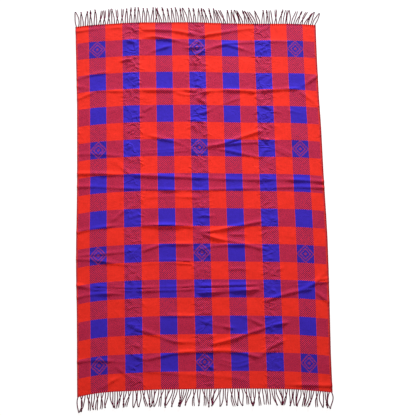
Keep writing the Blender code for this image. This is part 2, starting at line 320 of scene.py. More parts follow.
def packet_wrinkles():
    """Return short creases scattered along the packet's lengthwise folds."""
    chance = random.Random(WRINKLE_SEED)
    wrinkles = []
    for middle in PACKET_COLUMNS:
        for number in range(PACKET_WRINKLES):
            column = middle + chance.uniform(-WRINKLE_SCATTER, WRINKLE_SCATTER)
            row = (number + chance.random()) * ROWS / PACKET_WRINKLES
            turn = math.radians(chance.choice((-1, 1)) * chance.uniform(*WRINKLE_TURNS))
            reach = chance.uniform(*WRINKLE_REACHES)
            bend = chance.uniform(-WRINKLE_BEND, WRINKLE_BEND)
            across, down = reach * math.cos(turn), reach * math.sin(turn)
            course = (
                (column - across, row - down),
                (column - bend * math.sin(turn), row + bend * math.cos(turn)),
                (column + across, row + down),
            )
            height = chance.uniform(*WRINKLE_HEIGHTS)
            height *= np.interp(row, *np.array(PACKET_SHARPNESS).T)
            wrinkles.append((height, WRINKLE_WIDTH, course))
    return wrinkles


def course_reading(places, line):
    """Return how far each place is from a course, how far it is on the course's head side
    from 0 to 1, and how far along the course its nearer end is."""
    lengths = np.linalg.norm(np.diff(line, axis=0), axis=1)
    begun = np.concatenate([[0], np.cumsum(lengths)])
    nearest = np.full(len(places), np.inf)
    run = np.zeros(len(places))
    head_side = np.zeros(len(places))
    for start, end, length, before in zip(line[:-1], line[1:], lengths, begun):
        step = (end - start) / length
        reach = np.clip((places - start) @ step, 0, length)
        offset = places - start - reach[:, None] * step
        distance = np.linalg.norm(offset, axis=1) + TINY
        closer = distance < nearest
        nearest[closer] = distance[closer]
        run[closer] = before + reach[closer]
        head_side[closer] = ((offset @ HEADWARD) / distance)[closer] / 2 + 0.5
    return nearest, head_side, np.minimum(run, begun[-1] - run)


def bump(distance, reach):
    """A round swell, 1 at its middle and 0 past its reach."""
    return np.cos(np.clip(distance / reach, 0, 1) * math.pi / 2) ** 2


def crest(distance, reach):
    """A ridge that narrows toward its line, with a small rounding on the top."""
    share = np.sqrt((distance / reach) ** 2 + CREST_ROUNDING ** 2)
    return np.clip((1 - share) / (1 - CREST_ROUNDING), 0, 1) ** 2


def crease_lift(columns, rows):
    """Return how far the creases lift each place of the cloth, in metres."""
    places = np.stack([columns * COLUMN_PITCH, rows * ROW_PITCH], axis=1)
    total = np.zeros(len(places))
    for number, (height, half_width, course) in enumerate([*CREASES, *packet_wrinkles()]):
        line = rounded_course(course)
        reach = half_width * MILLIMETRE
        margin = reach * SWELL_WIDTH
        low = line.min(axis=0) - margin * HEAD_SLOPE
        high = line.max(axis=0) + margin * HEAD_SLOPE
        near = np.flatnonzero(((places > low) & (places < high)).all(axis=1))
        distance, head_side, to_tip = course_reading(places[near], line)
        if height > 0:
            distance = distance / (1 + (HEAD_SLOPE - 1) * head_side)
            shape = CREST_SHARE * crest(distance, reach)
            shape += (1 - CREST_SHARE) * bump(distance, margin)
        else:
            shape = bump(distance, margin) - crest(distance, reach) * (distance < reach)
        strength = [
            noise.noise(Vector((x / STRENGTH_SIZE, y / STRENGTH_SIZE, number)))
            for x, y in places[near]
        ]
        shape *= np.clip(1 + STRENGTH_SPREAD * np.array(strength), *STRENGTH_LIMITS)
        fade = min(FADE_LENGTH, np.linalg.norm(line[-1] - line[0]) / 3)
        shape = np.maximum(shape, 0) * smoothstep(to_tip / fade)
        total[near] += (abs(height) * MILLIMETRE * shape) ** 3
    to_end = np.minimum(rows, ROWS - rows) * ROW_PITCH
    return np.cbrt(total) * smoothstep((to_end - FLAT_END) / FLAT_END_BLEND)


def crumple_lift(columns, rows):
    """Return the low crumples and unevenness of the cloth, in metres, never below zero."""
    lifts = np.zeros(len(columns))
    to_end = np.minimum(rows, ROWS - rows) * ROW_PITCH
    ends = smoothstep((to_end - FLAT_END) / FLAT_END_BLEND)
    bands = sum(bump(np.abs(columns - middle), PACKET_REACH) for middle in PACKET_COLUMNS)
    for number, (column, row) in enumerate(zip(columns, rows)):
        x, y = column * COLUMN_PITCH, row * ROW_PITCH
        uneven = noise.noise(Vector((x / UNEVEN_SIZE, y / UNEVEN_SIZE, 0)))
        crumple = noise.noise(Vector((x / CRUMPLE_SIZE[0], y / CRUMPLE_SIZE[1], 7)))
        lifts[number] = UNEVEN_HEIGHT * max(uneven + UNEVEN_SHIFT, 0)
        lifts[number] += CRUMPLE_HEIGHT * max(crumple, 0) * bands[number]
    return lifts * ends


def grid_sheet(name, faces, columns_span, rows_span):
    """Add a flat grid and return it with the column and row of each of its points."""
    bpy.ops.mesh.primitive_grid_add(x_subdivisions=faces[0], y_subdivisions=faces[1], size=1)
    sheet = bpy.context.object
    sheet.name = name
    flat = np.empty(len(sheet.data.vertices) * 3)
    sheet.data.vertices.foreach_get("co", flat)
    flat = flat.reshape(-1, 3)
    columns = np.interp(flat[:, 0], (-0.5, 0.5), columns_span)
    rows = np.interp(-flat[:, 1], (-0.5, 0.5), rows_span)
    return sheet, columns, rows


def shape_sheet(sheet, points, columns, rows):
    sheet.data.vertices.foreach_set("co", np.asarray(points, dtype=float).ravel())
    while sheet.data.uv_layers:
        sheet.data.uv_layers.remove(sheet.data.uv_layers[0])
    corners = np.empty(len(sheet.data.loops), dtype=int)
    sheet.data.loops.foreach_get("vertex_index", corners)
    check = sheet.data.uv_layers.new(name="check")
    across = columns + np.interp(columns, *np.array(PULLED_LEFT).T)
    down = rows + np.interp(rows, *np.array(PULLED_UP).T)
    check.data.foreach_set("uv", np.stack([across[corners], down[corners]], axis=1).ravel())
    sheet.data.update()
    bpy.context.view_layer.objects.active = sheet
    shell = sheet.modifiers.new("thickness", "SOLIDIFY")
    shell.thickness = CLOTH_THICKNESS
    shell.offset = 1
    bpy.ops.object.modifier_apply(modifier=shell.name)
    bpy.ops.object.shade_smooth_by_angle(angle=math.radians(RIM_ANGLE))


bpy.ops.object.select_all(action="DESELECT")
cloth, cloth_columns, cloth_rows = grid_sheet("woven_cloth", CLOTH_FACES, (0, COLUMNS), (0, ROWS))
cloth_x, cloth_y = cloth_place(cloth_columns, cloth_rows)
solid_low, solid_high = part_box("cloth")
shift_x = (solid_low[0] + solid_high[0] - cloth_x.min() - cloth_x.max()) / 2
shift_y = (solid_low[1] + solid_high[1] - cloth_y.min() - cloth_y.max()) / 2
cloth_z = crease_lift(cloth_columns, cloth_rows) + crumple_lift(cloth_columns, cloth_rows)
cloth_points = np.stack([cloth_x + shift_x, cloth_y + shift_y, cloth_z], axis=1)
shape_sheet(cloth, cloth_points, cloth_columns, cloth_rows)


def linear(code):
    """Turn an sRGB hex colour into linear red, green, blue and full alpha."""
    shares = [int(code[start:start + 2], 16) / 255 for start in (0, 2, 4)]
    bent = [s / 12.92 if s <= 0.04045 else ((s + 0.055) / 1.055) ** 2.4 for s in shares]
    return (*bent, 1.0)


def add_node(tree, kind, sockets=(), **settings):
    """Add a node, fill its sockets from values or links, and return its first output."""
    made = tree.nodes.new(kind)
    for name, value in settings.items():
        setattr(made, name, value)
    for socket, value in sockets:
        if isinstance(value, bpy.types.NodeSocket):
            tree.links.new(value, made.inputs[socket])
        else:
            made.inputs[socket].default_value = value
    return made.outputs[0]


# Brushed acrylic twill: dyed yarn in clear red and royal blue, matt, with a soft nap.
# Where a red yarn crosses a blue one the diagonal twill line mixes them to crimson. Real
# yarns are 0.6 mm apart, and here a drawn thread is 2.7 mm so that the twill still shows.
RED = linear("F22E20")
BLUE = linear("3A24B2")
RED_FLOAT = linear("F62F44")
# The blue yarn's float in the red rows is its own blue darkened by painted shade, standing in for
# the shade between the red floats.
SHADED_BLUE_FLOAT = linear("3A1A4C")
CRIMSON_FLOAT = linear("D22A4A")
PLUM_FLOAT = linear("981C40")
EDGE_RED = linear("D83030")
# The darker red of the selvedges' outer rim is painted shade, standing in for a rolled edge.
SHADED_RIM_RED = linear("A81418")
ROOT_RED = linear("C01C20")
MOTIF_RED = linear("C03460")
MOTIF_NAVY = linear("301C85")
DRAWN_THREAD = 0.0027
TWILL_REPEAT = 4.0
TWILL_OVER = 1.5
COLUMN_START = 0.2
BLUE_MIDDLE = 1.5
HALF_SQUARE = 0.5
END_GUARD = 0.001
EDGE_LINE = 0.034
SELVEDGE = 0.05
SELVEDGE_LINE = 0.11
HEADING_DEPTH = 0.008
ROOT_LINE = 0.045
MOTIF_SPACING = 6
MOTIF_STEPS = 22
MOTIF_RING = 0.2
MOTIF_LINE = 0.08
MOTIF_REACH = 0.49

weave = bpy.data.materials.new("brushed_acrylic_twill")
weave.use_nodes = True
tree = weave.node_tree
MATH = "ShaderNodeMath"
check = add_node(tree, "ShaderNodeUVMap", uv_map="check")
column = add_node(tree, "ShaderNodeSeparateXYZ", [(0, check)])
row_raw = column.node.outputs[1]
row_floor = add_node(tree, MATH, [(0, row_raw), (1, END_GUARD)], operation="MAXIMUM")
row = add_node(tree, MATH, [(0, row_floor), (1, ROWS - END_GUARD)], operation="MINIMUM")
column_shifted = add_node(tree, MATH, [(0, column), (1, COLUMN_START)], operation="ADD")
column_turn = add_node(tree, MATH, [(0, column_shifted), (1, 2.0)], operation="FLOORED_MODULO")
row_turn = add_node(tree, MATH, [(0, row), (1, 2.0)], operation="FLOORED_MODULO")
blue_warp = add_node(tree, MATH, [(0, column_turn), (1, 1.0)], operation="GREATER_THAN")
blue_weft = add_node(tree, MATH, [(0, row_turn), (1, 1.0)], operation="GREATER_THAN")

# The twill line steps one thread up for each thread across, two over and two under. It is
# finer where a blue weft crosses the red warp.
fineness = add_node(tree, MATH, [(0, blue_weft), (1, 1.0)], operation="ADD")
warp_count = add_node(
    tree, MATH, [(0, column), (1, COLUMN_PITCH / DRAWN_THREAD)], operation="MULTIPLY"
)
weft_count = add_node(tree, MATH, [(0, row), (1, ROW_PITCH / DRAWN_THREAD)], operation="MULTIPLY")
warp_fine = add_node(tree, MATH, [(0, warp_count), (1, fineness)], operation="MULTIPLY")
weft_fine = add_node(tree, MATH, [(0, weft_count), (1, fineness)], operation="MULTIPLY")
warp_thread = add_node(tree, MATH, [(0, warp_fine)], operation="FLOOR")
weft_thread = add_node(tree, MATH, [(0, weft_fine)], operation="FLOOR")
diagonal = add_node(tree, MATH, [(0, warp_thread), (1, weft_thread)], operation="ADD")
diagonal_turn = add_node(tree, MATH, [(0, diagonal), (1, TWILL_REPEAT)], operation="FLOORED_MODULO")
warp_up = add_node(tree, MATH, [(0, diagonal_turn), (1, TWILL_OVER)], operation="LESS_THAN")

# A Mix node takes its two colours at inputs 6 and 7, and gives the mixed one at output 2.
both_blue = add_node(tree, MATH, [(0, blue_warp), (1, blue_weft)], operation="MULTIPLY")
any_blue = add_node(tree, MATH, [(0, blue_warp), (1, blue_weft)], operation="MAXIMUM")
blue_on_top = add_node(tree, MATH, [(0, warp_up), (1, blue_warp)], operation="COMPARE")
# In the red rows the blue float's colour carries painted shade.
bold_mix = add_node(
    tree, "ShaderNodeMix",
    [("Factor", blue_on_top), (6, RED_FLOAT), (7, SHADED_BLUE_FLOAT)],
    data_type="RGBA",
).node.outputs[2]
soft_mix = add_node(
    tree, "ShaderNodeMix",
    [("Factor", blue_on_top), (6, CRIMSON_FLOAT), (7, PLUM_FLOAT)],
    data_type="RGBA",
).node.outputs[2]
mix_color = add_node(
    tree, "ShaderNodeMix", [("Factor", blue_weft), (6, bold_mix), (7, soft_mix)], data_type="RGBA"
).node.outputs[2]
ground = add_node(
    tree, "ShaderNodeMix", [("Factor", any_blue), (6, RED), (7, mix_color)], data_type="RGBA"
).node.outputs[2]
squares = add_node(
    tree, "ShaderNodeMix", [("Factor", both_blue), (6, ground), (7, BLUE)], data_type="RGBA"
).node.outputs[2]

# A few red warp ends run free on both sides of each blue stripe, and show as fine lines
# where the blue weft would otherwise mix with them.
from_stripe = add_node(tree, MATH, [(0, column_turn), (1, BLUE_MIDDLE)], operation="SUBTRACT")
off_stripe = add_node(tree, MATH, [(0, from_stripe)], operation="ABSOLUTE")
past_stripe = add_node(tree, MATH, [(0, off_stripe), (1, 1.0)], operation="PINGPONG")
line_start = add_node(tree, MATH, [(0, past_stripe), (1, HALF_SQUARE)], operation="GREATER_THAN")
line_end = add_node(
    tree, MATH, [(0, past_stripe), (1, HALF_SQUARE + EDGE_LINE)], operation="LESS_THAN"
)
on_line = add_node(tree, MATH, [(0, line_start), (1, line_end)], operation="MULTIPLY")
free_ends = add_node(tree, MATH, [(0, on_line), (1, blue_weft)], operation="MULTIPLY")
lined = add_node(
    tree, "ShaderNodeMix", [("Factor", free_ends), (6, squares), (7, EDGE_RED)], data_type="RGBA"
).node.outputs[2]

# Every third blue square carries a plain stepped diamond, laid in with a red yarn that
# floats over two threads and dips under the next two, on a slightly darker ground.
column_cell = add_node(
    tree, MATH, [(0, column_shifted), (1, MOTIF_SPACING)], operation="FLOORED_MODULO"
)
row_cell = add_node(tree, MATH, [(0, row), (1, MOTIF_SPACING)], operation="FLOORED_MODULO")
column_near = add_node(
    tree, MATH, [(0, column_cell), (1, BLUE_MIDDLE), (2, HALF_SQUARE)], operation="COMPARE"
)
row_near = add_node(
    tree, MATH, [(0, row_cell), (1, BLUE_MIDDLE), (2, HALF_SQUARE)], operation="COMPARE"
)
motif_square = add_node(tree, MATH, [(0, column_near), (1, row_near)], operation="MULTIPLY")
steps = []
for cell in (column_cell, row_cell):
    offset = add_node(tree, MATH, [(0, cell), (1, BLUE_MIDDLE)], operation="SUBTRACT")
    away = add_node(tree, MATH, [(0, offset)], operation="ABSOLUTE")
    steps.append(add_node(tree, MATH, [(0, away), (1, 1 / MOTIF_STEPS)], operation="SNAP"))
spread = add_node(tree, MATH, [(0, steps[0]), (1, steps[1])], operation="ADD")
ring_turn = add_node(tree, MATH, [(0, spread), (1, MOTIF_RING)], operation="FLOORED_MODULO")
ring = add_node(tree, MATH, [(0, ring_turn), (1, MOTIF_LINE)], operation="LESS_THAN")
inside = add_node(tree, MATH, [(0, spread), (1, MOTIF_REACH)], operation="LESS_THAN")
ring_inside = add_node(tree, MATH, [(0, ring), (1, inside)], operation="MULTIPLY")
motif = add_node(tree, MATH, [(0, ring_inside), (1, motif_square)], operation="MULTIPLY")
drawn = add_node(
    tree, "ShaderNodeMix", [("Factor", motif), (6, lined), (7, MOTIF_RED)], data_type="RGBA"
).node.outputs[2]
dipped = add_node(tree, MATH, [(0, motif_square), (1, warp_up)], operation="MULTIPLY")
figured = add_node(
    tree, "ShaderNodeMix", [("Factor", dipped), (6, drawn), (7, MOTIF_NAVY)], data_type="RGBA"
).node.outputs[2]

# Both selvedges are a tight red band whose outer rim is darkened by painted shade, standing in
# for a rolled edge, and the last picks of weft beside the fringe are packed darker as well.
to_left = add_node(tree, MATH, [(0, column), (1, SELVEDGE_LINE)], operation="LESS_THAN")
to_right = add_node(
    tree, MATH, [(0, column), (1, COLUMNS - SELVEDGE_LINE)], operation="GREATER_THAN"
)
band = add_node(tree, MATH, [(0, to_left), (1, to_right)], operation="MAXIMUM")
banded = add_node(
    tree, "ShaderNodeMix", [("Factor", band), (6, figured), (7, EDGE_RED)], data_type="RGBA"
).node.outputs[2]
# Painted shade: the outer rim of each selvedge is coloured darker red, as a rolled edge would be
# shaded.
rim_shade_left = add_node(tree, MATH, [(0, column), (1, SELVEDGE)], operation="LESS_THAN")
rim_shade_right = add_node(tree, MATH, [(0, column), (1, COLUMNS - SELVEDGE)], operation="GREATER_THAN")
rim_shade = add_node(tree, MATH, [(0, rim_shade_left), (1, rim_shade_right)], operation="MAXIMUM")
rim_shaded = add_node(
    tree, "ShaderNodeMix", [("Factor", rim_shade), (6, banded), (7, SHADED_RIM_RED)], data_type="RGBA"
).node.outputs[2]
past_head = add_node(tree, MATH, [(0, row_raw), (1, -ROOT_LINE)], operation="LESS_THAN")
past_foot = add_node(tree, MATH, [(0, row_raw), (1, ROWS + ROOT_LINE)], operation="GREATER_THAN")
root = add_node(tree, MATH, [(0, past_head), (1, past_foot)], operation="MAXIMUM")
rooted = add_node(
    tree, "ShaderNodeMix", [("Factor", root), (6, rim_shaded), (7, ROOT_RED)], data_type="RGBA"
).node.outputs[2]

# Yarn dye and nap vary a little: streaks along warp and weft, and a soft mottle.
YARN_STREAKS = ((420.0, 18.0, 1.0), (18.0, 420.0, 1.0), (45.0, 45.0, 1.0))
DYE_LIMITS = (0.9, 1.1)

coordinates = add_node(tree, "ShaderNodeTexCoord").node.outputs["Object"]
shades = []
for stretch in YARN_STREAKS:
    stretched = add_node(tree, "ShaderNodeMapping", [("Vector", coordinates), ("Scale", stretch)])
    shades.append(add_node(
        tree, "ShaderNodeTexNoise",
        [("Vector", stretched), ("Scale", 1.0), ("Detail", 2.0), ("Roughness", 0.5)],
    ))
streaks = add_node(tree, MATH, [(0, shades[0]), (1, shades[1])], operation="ADD")
variation = add_node(tree, MATH, [(0, streaks), (1, shades[2])], operation="ADD")
brightness = add_node(
    tree, "ShaderNodeMapRange",
    [("Value", variation), ("From Min", 1.1), ("From Max", 1.9),
     ("To Min", DYE_LIMITS[0]), ("To Max", DYE_LIMITS[1])],
)
hue = add_node(tree, "ShaderNodeHueSaturation", [("Color", rooted), ("Value", brightness)])
tree.links.new(hue, tree.nodes["Principled BSDF"].inputs["Base Color"])

# The nap and the twill line stand up from the cloth by a few tenths of a millimetre.
NAP_SCALE = 900.0
NAP_DEPTH = 0.0005
NAP_STRENGTH = 0.35
TWILL_LIFT = 0.5

fuzz = add_node(
    tree, "ShaderNodeTexNoise",
    [("Vector", coordinates), ("Scale", NAP_SCALE), ("Detail", 3.0), ("Roughness", 0.6)],
)
line_height = add_node(tree, MATH, [(0, warp_up), (1, TWILL_LIFT)], operation="MULTIPLY")
relief = add_node(tree, MATH, [(0, fuzz), (1, line_height)], operation="ADD")

# Short sharp crumples, a few millimetres wide, and flat dents a few centimetres wide crowd
# in patches along the packet's lengthwise folds, and are softer in the foot half.
PACKET_SPACING = 3.9
PACKET_CORE = 0.25
PACKET_FADE = 0.3
CALM_SHARE = 0.15
BENDING = 0.09
BENDING_SCALE = 9.0
CRUMPLE_SCALE = 17.0
CRUMPLE_LINE = 0.11
CRUMPLE_DEPTH = 0.0018
FACET_SCALE = (17.0, 30.0, 1.0)
FACET_RISE = 4.2
PATCH_SCALE = 15.0
PATCH_LIMITS = (0.36, 0.58)
PATCH_LEAST = 0.1
SOFTENING_ROWS = (7.0, 10.0)
FOOT_SHARE = 0.6

packet_shift = add_node(
    tree, MATH, [(0, column), (1, PACKET_SPACING / 2 - PACKET_COLUMNS[0])], operation="ADD"
)
packet_turn = add_node(
    tree, MATH, [(0, packet_shift), (1, PACKET_SPACING)], operation="FLOORED_MODULO"
)
packet_offset = add_node(
    tree, MATH, [(0, packet_turn), (1, PACKET_SPACING / 2)], operation="SUBTRACT"
)
packet_away = add_node(tree, MATH, [(0, packet_offset)], operation="ABSOLUTE")
packet_share = add_node(
    tree, "ShaderNodeMapRange",
    [("Value", packet_away), ("From Min", PACKET_CORE), ("From Max", PACKET_REACH + PACKET_FADE),
     ("To Min", 1.0), ("To Max", CALM_SHARE)],
    interpolation_type="SMOOTHSTEP",
)
bent = add_node(
    tree, "ShaderNodeTexNoise",
    [("Vector", coordinates), ("Scale", BENDING_SCALE), ("Detail", 2.0)],
).node.outputs["Color"]
bent_away = add_node(
    tree, "ShaderNodeVectorMath", [(0, bent), (1, (BENDING, BENDING, 0.0))], operation="MULTIPLY"
)
crumple_place = add_node(
    tree, "ShaderNodeVectorMath", [(0, coordinates), (1, bent_away)], operation="ADD"
)
crumple = add_node(
    tree, "ShaderNodeTexVoronoi", [("Vector", crumple_place), ("Scale", CRUMPLE_SCALE)],
    feature="DISTANCE_TO_EDGE",
)
crumple_ridge = add_node(
    tree, "ShaderNodeMapRange",
    [("Value", crumple), ("From Min", 0.0), ("From Max", CRUMPLE_LINE),
     ("To Min", 1.0), ("To Max", 0.0)],
    interpolation_type="SMOOTHSTEP",
)
patches = add_node(
    tree, "ShaderNodeTexNoise", [("Vector", coordinates), ("Scale", PATCH_SCALE)]
)
patch_share = add_node(
    tree, "ShaderNodeMapRange",
    [("Value", patches), ("From Min", PATCH_LIMITS[0]), ("From Max", PATCH_LIMITS[1]),
     ("To Min", PATCH_LEAST), ("To Max", 1.0)],
    interpolation_type="SMOOTHSTEP",
)
facet_place = add_node(
    tree, "ShaderNodeMapping", [("Vector", crumple_place), ("Scale", FACET_SCALE)]
)
facet = add_node(
    tree, "ShaderNodeTexVoronoi", [("Vector", facet_place), ("Scale", 1.0)],
    feature="DISTANCE_TO_EDGE",
)
facet_height = add_node(tree, MATH, [(0, facet), (1, FACET_RISE)], operation="MULTIPLY")
dented = add_node(tree, MATH, [(0, crumple_ridge), (1, facet_height)], operation="ADD")
patched = add_node(tree, MATH, [(0, dented), (1, patch_share)], operation="MULTIPLY")
sharpness = add_node(
    tree, "ShaderNodeMapRange",
    [("Value", row), ("From Min", SOFTENING_ROWS[0]), ("From Max", SOFTENING_ROWS[1]),
     ("To Min", 1.0), ("To Max", FOOT_SHARE)],
    interpolation_type="SMOOTHSTEP",
)
banded_share = add_node(tree, MATH, [(0, packet_share), (1, sharpness)], operation="MULTIPLY")
crumple_height = add_node(tree, MATH, [(0, patched), (1, banded_share)], operation="MULTIPLY")
crumpled = add_node(
    tree, "ShaderNodeBump",
    [("Height", crumple_height), ("Strength", 1.0), ("Distance", CRUMPLE_DEPTH)],
)
raised = add_node(
    tree, "ShaderNodeBump",
    [("Height", relief), ("Strength", NAP_STRENGTH), ("Distance", NAP_DEPTH),
     ("Normal", crumpled)],
)
surface = tree.nodes["Principled BSDF"]
tree.links.new(raised, surface.inputs["Normal"])
surface.inputs["Roughness"].default_value = 0.85
surface.inputs["Specular IOR Level"].default_value = 0.12
surface.inputs["Sheen Weight"].default_value = 0.03
surface.inputs["Sheen Roughness"].default_value = 0.5

cloth.data.materials.clear()
cloth.data.materials.append(weave)
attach(cloth, "root")
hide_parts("cloth")

# Fringe
# At each end the warp runs on past the last weft. Groups of ends are twisted into two-ply
# strands, and neighbouring strands mostly meet in a small knot, so they lie in pairs.
HEADING_GAP = 0.0003
HEADING_FACES = (180, 2)
PAIRS = 56
STRAND_RADIUS = 0.003
LEAN_SPREAD = 0.003
LENGTH_SPREAD = 0.004
BELLY_SPREAD = 0.002
LEAN_GROWTH = 1.3
STRAND_SIDES = 6
STRAND_STEPS = 14
HEAD_SEED = 3
FOOT_SEED = 4

# How far the strand tips reach sideways and past the heading, in millimetres, by column.
HEAD_STRANDS = (
    # column, sideways, length
    (0.0, -10, 90),
    (0.6, -21, 90),
    (1.5, -5, 90),
    (3.4, -4, 88),
    (4.0, 8, 90),
    (5.1, -7, 90),
    (6.4, -13, 90),
    (6.9, 4, 90),
    (8.5, -16, 88),
    (9.0, -2, 86),
    (10.4, -15, 85),
    (11.6, -15, 85),
    (12.1, 0, 85),
    (13.4, 16, 84),
    (14.2, 22, 82),
    (14.6, 50, 74),
)
FOOT_STRANDS = (
    # column, sideways, length
    (0.0, 4, 87),
    (1.6, 6, 86),
    (2.3, -8, 86),
    (3.0, 0, 87),
    (5.0, -5, 92),
    (6.0, -8, 92),
    (7.2, -5, 92),
    (9.0, -6, 90),
    (10.4, 6, 88),
    (12.0, -3, 88),
    (13.6, -4, 87),
    (14.6, -5, 82),
)

# The ways in which a pair of strands lies: how often at each end, where along them they
# meet, how far they bow apart on the way, where the two tips end beside the pair's middle
# line, and how many half turns they wind round each other once they have met.
TOUCHING = 2.6
PAIR_LIES = (
    # at the head, at the foot, meeting share, bow, tip offset (in millimetres), half turns
    (0.13, 0.20, 0.95, 4.6, TOUCHING, 0),
    (0.30, 0.22, 0.72, 1.4, TOUCHING, 1),
    (0.30, 0.18, 0.45, 0.5, TOUCHING, 3),
    (0.13, 0.22, 0.60, 0.0, -5.0, 0),
    (0.14, 0.08, 0.95, 0.8, 4.6, 0),
    (0.00, 0.10, 0.92, 8.0, TOUCHING, 0),
)

# The values that differ between the ends stand as (head, foot). The corner pairs lie open.
CORNER_LIES = (PAIR_LIES[0], PAIR_LIES[-1])
WANDER = (0.0016, 0.0042)
WANDER_TURN = 5
EXTRA_LEAN = (0.005, 0.009)
BUNCHED_LEAN = (0.03, 0.036)
BUNCHING = 0.47
BOW_LIMITS = (0.6, 1.4)
ROOT_DEPTH = 0.0015
TIP_TAPER = 0.55
TAPER_START = 0.9
TOUCH_SHARE = 1.6
OVERLAP_REACH = 8
SMOOTHED_STEPS = 5
KNOT_SIZE = (0.0036, 0.0046, 0.0034)
KNOT_PLACE = 0.94

bpy.ops.object.select_all(action="DESELECT")
bpy.ops.mesh.primitive_cylinder_add(
    vertices=STRAND_SIDES, radius=1, depth=1, end_fill_type="TRIFAN", location=(0, 0, 0.5)
)
model_strand = bpy.context.object
bpy.ops.object.transform_apply(location=True)
bpy.ops.object.mode_set(mode="EDIT")
for step in range(1, STRAND_STEPS):
    bpy.ops.mesh.select_all(action="SELECT")
    bpy.ops.mesh.bisect(plane_co=(0, 0, step / STRAND_STEPS), plane_no=(0, 0, 1))
bpy.ops.object.mode_set(mode="OBJECT")
strand_points = np.array([vert.co[:] for vert in model_strand.data.vertices])
strand_faces = [tuple(face.vertices) for face in model_strand.data.polygons]
bpy.data.objects.remove(model_strand)

bpy.ops.mesh.primitive_ico_sphere_add(subdivisions=1, radius=1)
model_knot = bpy.context.object
knot_points = np.array([vert.co[:] for vert in model_knot.data.vertices])
knot_faces = [tuple(face.vertices) for face in model_knot.data.polygons]
bpy.data.objects.remove(model_knot)


def pair_lines(row, outward, strands, seed):
    """Return each strand's floor line and its rise where it winds, and the knotted middles."""
    chance = random.Random(seed)
    lie_chance = random.Random(seed + 10)
    end = 0 if outward > 0 else 1
    pair_columns = COLUMNS / PAIRS
    half_gap = pair_columns * COLUMN_PITCH / 4
    shares = np.linspace(0, 1, STRAND_STEPS * 2 + 1)
    lines, rises, knots = [], [], []
    for pair in range(PAIRS):
        middle = (pair + 0.5) * pair_columns
        scatter = chance.uniform(-1, 1) * LEAN_SPREAD
        length = table_value(strands, 2, middle) + chance.uniform(-1, 1) * LENGTH_SPREAD
        scatter += lie_chance.uniform(-1, 1) * EXTRA_LEAN[end]
        scatter += BUNCHED_LEAN[end] * noise.noise(Vector((pair * BUNCHING, seed, 0.5)))
        lie = lie_chance.choices(PAIR_LIES, weights=[each[end] for each in PAIR_LIES])[0]
        if pair in (0, PAIRS - 1):
            scatter = 0
            lie = CORNER_LIES[end]
        lean = table_value(strands, 1, middle) + scatter
        length = math.sqrt(length ** 2 - lean ** 2)
        meeting, bow, offset, half_turns = lie[2:]
        bow = bow * lie_chance.uniform(*BOW_LIMITS) * MILLIMETRE
        wander = np.sin(shares * WANDER_TURN + lie_chance.uniform(0, 2 * math.pi))
        wander = WANDER[end] * wander * shares
        wound = np.clip((shares - meeting) / (1 - meeting), 0, 1) * half_turns * math.pi
        for leg in (-1, 1):
            x, y = cloth_place(middle + leg * pair_columns / 4, row)
            closing = smoothstep(shares / meeting)
            apart = half_gap * (1 - closing) + offset * MILLIMETRE * closing * np.cos(wound)
            apart += bow * np.sin(math.pi * np.clip(shares / meeting, 0, 1))
            apart += chance.uniform(0, 1) * BELLY_SPREAD * np.sin(math.pi * shares)
            sideways = lean * shares ** LEAN_GROWTH + wander + leg * (apart - half_gap)
            forward = outward * (HEADING_GAP + HEADING_DEPTH - ROOT_DEPTH + shares * length)
            lines.append(np.stack([x + sideways + shift_x, y + forward + shift_y], axis=1))
            turned = np.sin(wound)
            rises.append(STRAND_RADIUS * (1 + np.abs(turned) + leg * turned))
        if offset == TOUCHING:
            knots.append((lines[-1] + lines[-2]) / 2)
    return lines, rises, knots


def stacked_heights(lines, rises):
    """Return the height of each strand's middle line, lifted where it lies on another."""
    heights = []
    for number, (line, rise) in enumerate(zip(lines, rises)):
        height = rise.copy()
        for other in range(max(0, number - OVERLAP_REACH), number):
            if other == number - 1 and rise.max() > STRAND_RADIUS:
                continue
            apart = np.linalg.norm(line[:, None] - lines[other][None], axis=2)
            nearest = apart.argmin(axis=1)
            gap = apart.min(axis=1)
            over = np.sqrt(np.clip((2 * STRAND_RADIUS) ** 2 - gap ** 2, 0, None))
            lifted = heights[other][nearest] + over
            height = np.where(gap < TOUCH_SHARE * STRAND_RADIUS, np.maximum(height, lifted), height)
        padded = np.pad(height, SMOOTHED_STEPS // 2, mode="edge")
        smooth = np.convolve(padded, np.ones(SMOOTHED_STEPS) / SMOOTHED_STEPS, mode="valid")
        heights.append(np.maximum(smooth, rise))
    return heights


def bent_strand(line, height):
    """Bend the model strand along a line, and return its points."""
    share = strand_points[:, 2]
    marks = np.linspace(0, 1, len(line))
    x = np.interp(share, marks, line[:, 0])
    y = np.interp(share, marks, line[:, 1])
    z = np.interp(share, marks, height)
    along = np.gradient(line, axis=0)
    along /= np.linalg.norm(along, axis=1)[:, None]
    side_x = np.interp(share, marks, -along[:, 1])
    side_y = np.interp(share, marks, along[:, 0])
    narrow = 1 - (1 - TIP_TAPER) * smoothstep((share - TAPER_START) / (1 - TAPER_START))
    across = strand_points[:, 0] * STRAND_RADIUS * narrow
    upward = strand_points[:, 1] * STRAND_RADIUS * narrow
    return np.stack([x + side_x * across, y + side_y * across, z + upward], axis=1)


